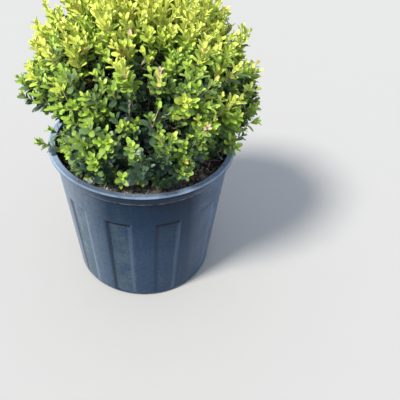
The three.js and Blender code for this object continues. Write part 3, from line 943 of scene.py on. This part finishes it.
for place, aim in PROUD_TIPS + LEGGY_TIPS:
    tip = Vector(place)
    hang_spray(nearest_shoot(way_to(tip))[0], tip, Vector(aim).normalized(), PROUD_LENGTH)
sprays_of = {tuple(goal): sprays for goal, sprays in zip(shoot_goals, shoot_sprays)}


def square_rod(steps):
    """A closed four-sided rod of radius 1 along Z, with a ring of corners at each whole height."""
    rod = bmesh.new()
    bmesh.ops.create_circle(rod, segments=4, radius=1)
    ring_edges = rod.edges[:]
    bmesh.ops.contextual_create(rod, geom=ring_edges)
    for _ in range(steps):
        grown = bmesh.ops.extrude_edge_only(rod, edges=ring_edges)["geom"]
        ring = [part for part in grown if isinstance(part, bmesh.types.BMVert)]
        bmesh.ops.translate(rod, vec=(0, 0, 1), verts=ring)
        ring_edges = [part for part in grown if isinstance(part, bmesh.types.BMEdge)
                      and all(vert in ring for vert in part.verts)]
    bmesh.ops.contextual_create(rod, geom=ring_edges)
    bmesh.ops.recalc_face_normals(rod, faces=rod.faces[:])
    return arrays_of(rod)


rods = {rings: square_rod(rings - 1) for rings in (TWIG_RINGS, SPRAY_RINGS)}


def twig(line, radii):
    """Bends a rod along a line of points and gives it a radius at each."""
    side = (line[1] - line[0]).orthogonal().normalized()
    sides = []
    acrosses = []
    for step in range(len(line)):
        ahead = line[min(step + 1, len(line) - 1)] - line[max(step - 1, 0)]
        side = (side - side.project(ahead)).normalized()
        sides.append(side[:])
        acrosses.append(ahead.normalized().cross(side)[:])
    corners, faces = rods[len(line)]
    ring = corners[:, 2].round().astype(int)
    round_it = np.array(sides)[ring] * corners[:, :1] + np.array(acrosses)[ring] * corners[:, 1:2]
    return np.array([point[:] for point in line])[ring] + round_it * np.array(radii)[ring, None], faces


old_twigs = Bundle()
young_twigs = Bundle()
shoot_lines = []
twig_chance = Chance(TWIG_SEED)


def add_old_twig(line, carried):
    """Adds a woody twig, as thick as the number of sprays that it carries asks."""
    radius = TWIG_TIP * carried ** TWIG_POWER
    old_twigs.add(*twig(line, [radius * size for size in TWIG_TAPER]))


def grow_sprays(start, heading, sprays):
    """Forks one shoot on into its sprays, and keeps the line of each leafy piece."""
    if len(sprays) == 1:
        foot, tip, facing = sprays[0]
        bend = foot + wander(twig_chance, 2.5)
        controls = [start, start.lerp(bend, 0.5) + heading * 3, bend, bend.lerp(tip, 0.5), tip]
        line = bezier(controls, SPRAY_RINGS)
        young_twigs.add(*twig(line, [TWIG_TIP * (1.6 - 0.9 * share) for share in shares(SPRAY_RINGS)]))
        shoot_lines.append((line, way_to(tip), True))
        return
    for half in halves(sprays, lambda spray: spray[0]):
        middle = sum((spray[0] for spray in half), Vector()) / len(half)
        end = start.lerp(middle, 0.38)
        line = bezier([start, start + heading * (end - start).length * 0.4, end], TWIG_RINGS)
        add_old_twig(line, len(half))
        shoot_lines.append((line, way_to(end), False))
        grow_sprays(end, (line[2] - line[1]).normalized(), half)


def carried_by(goals):
    """How many sprays the shoots to those goals carry."""
    return max(1, sum(len(sprays_of[tuple(goal)]) for goal in goals))


def grow(start, goals):
    """Forks a mass's twig until each end carries one shoot, as the solids do."""
    if len(goals) == 1:
        goal = goals[0]
        foot = CROWN_CENTRE.lerp(goal, SHOOT_FOOT)
        parting = start.lerp(foot, SPRAY_START)
        add_old_twig(bezier([start, parting], TWIG_RINGS), carried_by(goals))
        if sprays_of[tuple(goal)]:
            grow_sprays(parting, (parting - start).normalized(), sprays_of[tuple(goal)])
        return
    for half in halves(goals):
        middle = sum(half, Vector()) / len(half)
        end = start.lerp(middle, FORK_SHARE)
        add_old_twig(bezier([start, end], TWIG_RINGS), carried_by(half))
        grow(end, half)


for mass in masses:
    line = [mass["tip"] + mass["along"] * step for step in BOUGH_END_STEPS]
    old_twigs.add(*twig(line, BOUGH_END_RADII))
    grow(line[-1], mass["goals"])

old_wood = old_twigs.piece("old_twigs", crease=80)
bark.onto(old_wood)
young_wood = young_twigs.piece("young_twigs", crease=80)
young_bark = Finish("young_bark", Roughness=0.6)
red_share = young_bark.grain(140, 3).above(0.4, 0.6)
young_bark.feed("Base Color", young_bark.mix(red_share, YOUNG_BARK, YOUNG_BARK_RED))
young_bark.bump(young_bark.grain(1500, 2), 0.0003)
young_bark.onto(young_wood)
for twigs in (old_wood, young_wood):
    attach(twigs, "root")

# The leaves: opposite pairs of small leathery blades, each pair a quarter turn from the last, wide
# past the middle and closing to a tuft at the tip of the shoot. New growth is yellow-green, old
# leaves are deep green and glossy, and a few have dried or fallen on the mix. The leaves also carry
# painted light: lighter high up and on the sides, as if in sun, and darker low down, deep inside
# and on woody shoots, as if in shade.
LEAF_SEED = 3307
LEAF_LENGTH = 13.4
YOUNG_HALF_WIDTH = 2.7
OLD_HALF_WIDTH = 3.6
LEAF_OUTLINE = [(0, 0.16), (0.28, 0.64), (0.60, 1), (0.86, 0.82), (1, 0.36)]
# Leaf groups run from sunlit new growth to old leaves in shade; a leaf's group comes partly from its age
# and partly from painted light.
LEAF_GROUPS = {
    "new_and_sunlit_gold": ((0.715, 0.790, 0.140), 0.48),
    "new_and_sunlit_yellow": ((0.555, 0.680, 0.110), 0.47),
    "new_and_sunlit_lime": ((0.375, 0.570, 0.068), 0.46),
    "fresh_and_lit_green": ((0.245, 0.385, 0.065), 0.45),
    "mid_green": ((0.122, 0.215, 0.058), 0.44),
    "old_and_shaded_green": ((0.060, 0.120, 0.058), 0.43),
    "old_and_shaded_deep": ((0.028, 0.064, 0.044), 0.42),
    "new_bronze": ((0.700, 0.540, 0.150), 0.45),
    "dry_tan": ((0.700, 0.530, 0.380), 0.70),
    "fallen_brown": ((0.340, 0.200, 0.125), 0.75),
}
TONE_LIMITS = [
    (0.86, "new_and_sunlit_gold"), (0.66, "new_and_sunlit_yellow"), (0.49, "new_and_sunlit_lime"),
    (0.33, "fresh_and_lit_green"), (0.17, "mid_green"), (0, "old_and_shaded_green"),
]
LEAF_SHADE = 0.78
LEAF_SIZES = (0.78, 1.14)
LAST_PAIR_SIZE = 0.74
TUFT_SIZE = 0.55
CROWN_LIMIT = 173
LEAF_LOWEST = 223.2
INTERNODE = 6.6
OPENING = 30
OPENING_GAIN = 30
TUFT_OPENING = 0.25
YOUNG_REACH = 26
BARE_SHARE = 0.46
LEGGY_PAIRS = 1
# how much painted sunlight and painted shade the leaves' tones carry
TOP_SUN = 0.72
SIDE_SUN = 0.2
RIGHT_SUN = 0.03
UNDER_SHADE = 0.1
EVEN_SHADE = 0.05
DEEP_SHADE = 0.4
DEEP_START = 16
DEEP_FULL = 46
PATCHY = 0.2
TONE_CHANCE = 0.15
FRESH = (0.32, 0.5)
VERY_FRESH = (0.5, 0.85)
LOW_DOWN = 0.1
LOW_FRESH = 0.6
LOW_FRESHEST = 0.62
FRESHEST = 1.2
WOODY_SHADE = 0.12
LIME_PX = [
    (105, 146), (168, 141), (132, 123), (190, 114), (88, 168), (99, 173), (120, 181), (181, 149),
    (235, 129), (189, 104), (131, 146), (88, 126), (208, 107), (75, 120), (101, 116), (70, 153),
    (87, 151), (50, 140), (85, 104), (62, 104), (90, 119), (171, 109), (179, 117), (218, 117),
    (98, 106), (72, 108), (104, 122), (178, 103), (196, 108), (108, 100), (234, 120),
]
LIME_SUN = 0.3
LIME_FRESH = 0.32
GOLD_PX = [
    (112, 28), (113, 44), (119, 62), (122, 83), (66, 14), (64, 29), (75, 58), (42, 27), (40, 45),
    (42, 62), (32, 73), (48, 4), (144, 25), (202, 55), (220, 74), (209, 12), (238, 66), (237, 102),
    (57, 88), (176, 76), (184, 100), (191, 113), (205, 98), (148, 4), (130, 12), (168, 14), (180, 27),
]
GOLD_SUN = 0.3
BRONZE_PX = [(73, 47), (119, 45), (159, 73), (201, 56), (47, 105), (190, 60), (120, 84)]
BRONZE_SPOT_SHARE = 0.28
BRONZE_SHARE = 0.012
DRY_PX = [(207, 130), (160, 71)]
DRY_AGE = 0.3
DRY_DEPTH = 24
DRY_SPOT_PX = 3
DRY_SPOT_SHARE = 0.9
DRY_SHARE = 0.0012
SPOT_PX = 6.5
SPOTS_BEHIND = 12
FALLEN = 30
FALLEN_RING = (70, 121)
FALLEN_LIFT = 4.2
FALLEN_PLACES = [(50, -97, 0), (61, -95, 0), (75, -62, 0), (82, -73, 0)]


def leaf_shape(half_width, fold, curl):
    """One blade a unit long: a grid pulled to its outline, folded along the midrib and curled."""
    blade = bmesh.new()
    bmesh.ops.create_grid(blade, x_segments=len(LEAF_OUTLINE) - 1, y_segments=2, size=1)
    for vert in blade.verts:
        along, share = LEAF_OUTLINE[round((vert.co.x + 1) / 2 * (len(LEAF_OUTLINE) - 1))]
        aside = vert.co.y
        notch = -0.03 if along == 1 and abs(aside) < 0.5 else 0
        width = share * half_width / LEAF_LENGTH
        vert.co = Vector((along + notch, aside * width, fold * abs(aside) * width - curl * along * along))
    return arrays_of(blade)


young_blade = leaf_shape(YOUNG_HALF_WIDTH, fold=0.5, curl=0.10)
old_blade = leaf_shape(OLD_HALF_WIDTH, fold=0.2, curl=0.16)
leaf_heaps = {name: Bundle() for name in LEAF_GROUPS}
leaf_chance = Chance(LEAF_SEED)


def clear_of_pot(points):
    """Whether a blade is in the crown's reach and passes neither wall, lip nor mix."""
    out = np.hypot(points[:, 0], points[:, 1])
    low = points[:, 2] < POT_HEIGHT + 1
    if (low & (out > NECK_RADIUS - WALL - 1)).any():
        return False
    if (points[:, 2] < LEAF_LOWEST).any():
        return False
    return np.linalg.norm(points - np.array(CROWN_CENTRE), axis=1).max() < CROWN_LIMIT


def put_leaf(root, way, along, size, group, blade):
    """Sets one blade at its root, pointing its way, its upper side towards the shoot's tip."""
    across = along.cross(way).normalized()
    up = way.cross(across)
    spin = np.array([way[:], across[:], up[:]])
    points = blade[0] @ spin * (LEAF_LENGTH * size) + np.array(root)
    if clear_of_pot(points):
        leaf_heaps[group].add(points, blade[1])


def leaf_group(tone):
    """The group of a leaf, from deep green at 0 or less to gold near 1."""
    for limit, name in TONE_LIMITS:
        if tone > limit:
            return name
    return "old_and_shaded_deep"


def near_spot(point, spots, within=SPOT_PX):
    """Whether a point at the front of the crown shows at one of the photograph's spots."""
    if (point - CROWN_CENTRE).dot(to_viewer) < -SPOTS_BEHIND:
        return False
    seen = frame_pixel(point)
    return any((seen - Vector(spot)).length < within for spot in spots)


def height_share(way):
    """How near a way is to the top of the crown, from 0 at its sides to 1."""
    return share_of(way.z, 0.25, 0.95)


def depth_of(line, way):
    """How deep in the crown a shoot ends."""
    return reach(way) - (line[-1] - CROWN_CENTRE).length


def shoot_tones(line, way, is_tip):
    """The tone of a shoot's old leaves, how much fresher its tip is, and the freshest that shows."""
    high = height_share(way)
    # painted light and shade: the tone is lighter high on the crown and on its sides, as if in sun, and
    # darker underneath, deep inside and on woody shoots, as if in shade
    sunny = TOP_SUN * eased(high) + UNDER_SHADE * min(0, way.z)
    sunny += SIDE_SUN * abs(way.x) + RIGHT_SUN * way.x - EVEN_SHADE
    sunny += PATCHY * noise.noise(way * 3.1 + Vector((5, 2, 9)))
    sunny += leaf_chance.between(-TONE_CHANCE, TONE_CHANCE)
    sunny -= DEEP_SHADE * share_of(depth_of(line, way), DEEP_START, DEEP_FULL)
    fresh = leaf_chance.between(*(FRESH if leaf_chance.next() < 0.5 + high else VERY_FRESH))
    if way.z < LOW_DOWN:
        fresh *= LOW_FRESH
    # painted sunlight on the tips at the lime and gold spots
    if is_tip and near_spot(line[-1], LIME_PX):
        sunny = max(sunny, LIME_SUN)
        fresh = LIME_FRESH
    if is_tip and near_spot(line[-1], GOLD_PX):
        sunny += GOLD_SUN
    if not is_tip:
        sunny -= WOODY_SHADE
        fresh = 0
    return sunny, fresh, FRESHEST if way.z > LOW_DOWN else LOW_FRESHEST


def dress(line, way, is_tip):
    """Leafs one shoot from its foot to its tip."""
    lengths = [(b - a).length for a, b in zip(line, line[1:])]
    total = sum(lengths)
    high = height_share(way)
    sunny, fresh, freshest = shoot_tones(line, way, is_tip)
    leggy = is_tip and any((line[-1] - Vector(place)).length < 1 for place, _ in LEGGY_TIPS)
    dried = is_tip and depth_of(line, way) < DRY_DEPTH and near_spot(line[-1], DRY_PX, DRY_SPOT_PX)
    bronze_share = BRONZE_SPOT_SHARE if is_tip and near_spot(line[-1], BRONZE_PX) else BRONZE_SHARE
    turn = leaf_chance.between(0, math.pi)
    size = leaf_chance.between(*LEAF_SIZES) * (1.08 - 0.06 * high)
    pairs = max(1, round(total / INTERNODE))
    for pair in range(pairs):
        travelled = total * (pair + (1 if is_tip else 0.7)) / pairs
        from_tip = total - travelled
        step = 0
        while step < len(lengths) - 1 and travelled > lengths[step]:
            travelled -= lengths[step]
            step += 1
        along = (line[step + 1] - line[step]).normalized()
        root = line[step].lerp(line[step + 1], min(1, travelled / lengths[step]))
        age = min(1, from_tip / (YOUNG_REACH + 14 * high)) if is_tip else 1
        opening = math.radians(OPENING - 8 * high + (OPENING_GAIN - 10 * high) * age)
        if leggy and pair < pairs - LEGGY_PAIRS:
            continue
        if age == 1 and leaf_chance.next() < BARE_SHARE:
            continue
        grown = size * (LAST_PAIR_SIZE if is_tip and pair == pairs - 1 else 1)
        for half in range(2):
            quarter = turn + pair * math.pi / 2 + half * math.pi + leaf_chance.between(-0.25, 0.25)
            wide = opening + leaf_chance.between(-0.16, 0.16)
            towards = along * math.cos(wide) + side_of(along, quarter) * math.sin(wide)
            group = leaf_group(min(freshest, sunny + fresh * (1 - age)) + leaf_chance.between(-0.07, 0.07))
            if group.startswith("new") and leaf_chance.next() < bronze_share:
                group = "new_bronze"
            if leaf_chance.next() < (DRY_SPOT_SHARE if dried and age < DRY_AGE else DRY_SHARE):
                group = "dry_tan"
            blade = young_blade if age < 0.5 else old_blade
            put_leaf(root, towards, along, grown * leaf_chance.between(0.88, 1.1), group, blade)
    if is_tip:
        for half in range(2):
            aside = side_of(along, turn + pairs * math.pi / 2 + half * math.pi)
            towards = along * math.cos(TUFT_OPENING) + aside * math.sin(TUFT_OPENING)
            group = "dry_tan" if dried else leaf_group(min(freshest, sunny + fresh + 0.05))
            put_leaf(line[-1], towards, along, size * TUFT_SIZE, group, young_blade)


for line, way, is_tip in shoot_lines:
    dress(line, way, is_tip)
for number in range(FALLEN):
    turn = leaf_chance.between(0, 2 * math.pi)
    place = Vector((math.sin(turn), -math.cos(turn), 0)) * leaf_chance.between(*FALLEN_RING)
    if number < len(FALLEN_PLACES):
        place = Vector(FALLEN_PLACES[number])
    place.z = soil_height(Vector((place.x, place.y)).length) + FALLEN_LIFT
    heading = leaf_chance.between(0, 2 * math.pi)
    towards = Vector((math.cos(heading), math.sin(heading), leaf_chance.between(0, 0.15))).normalized()
    leaning = Vector((leaf_chance.between(-0.3, 0.3), leaf_chance.between(-0.3, 0.3), 1)).normalized()
    put_leaf(place, towards, leaning, leaf_chance.between(0.8, 1.1), "fallen_brown", old_blade)

for name, (colour, gloss) in LEAF_GROUPS.items():
    leaves = leaf_heaps[name].piece("leaves_" + name, crease=80)
    blade_finish = Finish("leaf_" + name, Roughness=gloss, Specular_IOR_Level=0.6)
    shade = tuple(part * LEAF_SHADE for part in colour)
    mottle = blade_finish.grain(260, 3)
    blade_finish.feed("Base Color", blade_finish.mix(mottle.above(0.35, 0.65), (*shade, 1), (*colour, 1)))
    blade_finish.bump(mottle, 0.0006, 0.6)
    blade_finish.onto(leaves)
    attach(leaves, "root")
    if name == "mid_green":
        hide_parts(*["foliage_" + mass["name"] for mass in masses])

# The studio: a pale matt floor under the pot, a warm key light like a soft sun, high on the left,
# and a cool even fill from all round.
FLOOR_HALF = 12000
FLOOR_PALE = (0.40, 0.40, 0.40, 1)
FLOOR_DARK = (0.34, 0.34, 0.34, 1)
KEY_STRENGTH = 5.2
KEY_ANGLE = math.radians(14)
KEY_COLOUR = (1, 0.95, 0.86)
KEY_FROM = Vector((-0.48, -0.42, 0.77))
FILL_COLOUR = (0.80, 0.88, 1, 1)
FILL_STRENGTH = 0.92

floor_mesh = bmesh.new()
bmesh.ops.create_grid(floor_mesh, x_segments=1, y_segments=1, size=FLOOR_HALF)
floor = piece_of(floor_mesh, "floor")
floor_finish = Finish("floor", Roughness=0.8)
floor_finish.feed("Base Color", floor_finish.mix(floor_finish.grain(9, 4) * 0.12, FLOOR_PALE, FLOOR_DARK))
floor_finish.onto(floor)

key = bpy.data.lights.new("key", "SUN")
key.energy = KEY_STRENGTH
key.angle = KEY_ANGLE
key.color = KEY_COLOUR
key_lamp = bpy.data.objects.new("key", key)
key_lamp.rotation_euler = KEY_FROM.to_track_quat("Z", "Y").to_euler()
bpy.context.scene.collection.objects.link(key_lamp)
sky = bpy.data.worlds.new("sky")
sky.use_nodes = True
fill = sky.node_tree.nodes["Background"]
fill.inputs["Color"].default_value = FILL_COLOUR
fill.inputs["Strength"].default_value = FILL_STRENGTH
bpy.context.scene.world = sky
bpy.context.scene.view_settings.view_transform = "Standard"
